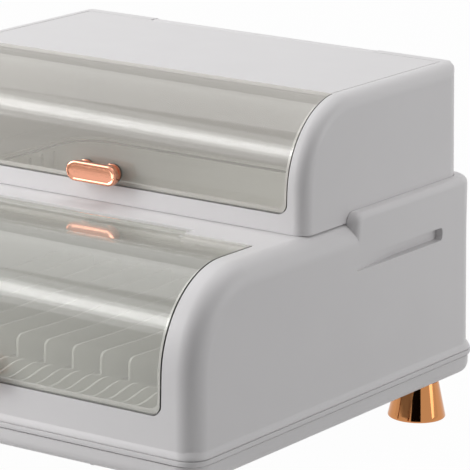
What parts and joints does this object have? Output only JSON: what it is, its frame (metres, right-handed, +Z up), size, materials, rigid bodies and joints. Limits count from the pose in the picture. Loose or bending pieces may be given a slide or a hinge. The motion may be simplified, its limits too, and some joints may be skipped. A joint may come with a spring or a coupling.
{
  "type": "covered dish drainer",
  "caption": "Two-tier white dish drainer box with clear flip-up lids, rose-gold handles and feet, a plate rack and a slotted drop-in bowl basket inside.",
  "frame": {"origin": "on the floor under the middle of the overall box: midway across, and midway from the face of the lower handle to the rear lip", "axes": "+Z up; -Y is the front, where the lids' handles are; +X is to the right of someone facing the front"},
  "size_m": [0.4398, 0.4479, 0.312],
  "materials": {
    "white_abs": "satin moulded ABS",
    "smoky_clear": "clear smoky acrylic, polished",
    "inner_white": "moulded polypropylene",
    "rose_gold": "mirror rose-gold plating on ABS",
    "screw_steel": "stainless steel",
    "pad_rubber": "moulded grey rubber"
  },
  "bodies": {
    "housing": {"base_tray": "white_abs", "body_screw_front_left": "screw_steel", "body_screw_front_right": "screw_steel", "body_screw_rear_left": "screw_steel", "body_screw_rear_right": "screw_steel", "bowl_basket": "inner_white", "foot_front_left": "rose_gold", "foot_front_right": "rose_gold", "foot_pad_front_left": "pad_rubber", "foot_pad_front_right": "pad_rubber", "foot_pad_rear_left": "pad_rubber", "foot_pad_rear_right": "pad_rubber", "foot_rear_left": "rose_gold", "foot_rear_right": "rose_gold", "foot_screw_front_left": "screw_steel", "foot_screw_front_right": "screw_steel", "foot_screw_rear_left": "screw_steel", "foot_screw_rear_right": "screw_steel", "lower_body": "white_abs", "lower_hinge_pin_left": "screw_steel", "lower_hinge_pin_right": "screw_steel", "plate_rack": "inner_white", "upper_body": "white_abs", "upper_hinge_pin_left": "screw_steel", "upper_hinge_pin_right": "screw_steel"},
    "lower_lid": {"lower_lid": "smoky_clear", "lower_handle_bar": "rose_gold", "lower_handle_post_left": "rose_gold", "lower_handle_post_right": "rose_gold", "lower_handle_screw_left": "screw_steel", "lower_handle_screw_right": "screw_steel"},
    "upper_lid": {"upper_lid_panel": "white_abs", "upper_window": "smoky_clear", "upper_handle_bar": "rose_gold", "upper_handle_post_left": "rose_gold", "upper_handle_post_right": "rose_gold", "upper_handle_screw_left": "screw_steel", "upper_handle_screw_right": "screw_steel"}
  },
  "joints": [
    {"name": "lower_lid_hinge", "type": "hinge", "parent": "housing", "child": "lower_lid", "pos_m": [0, -0.0768, 0.2004], "axis": [-1, 0, 0], "range_deg": [0, 100]},
    {"name": "upper_lid_hinge", "type": "hinge", "parent": "housing", "child": "upper_lid", "pos_m": [0, 0.20419, 0.3064], "axis": [-1, 0, 0], "range_deg": [0, 100]}
  ]
}
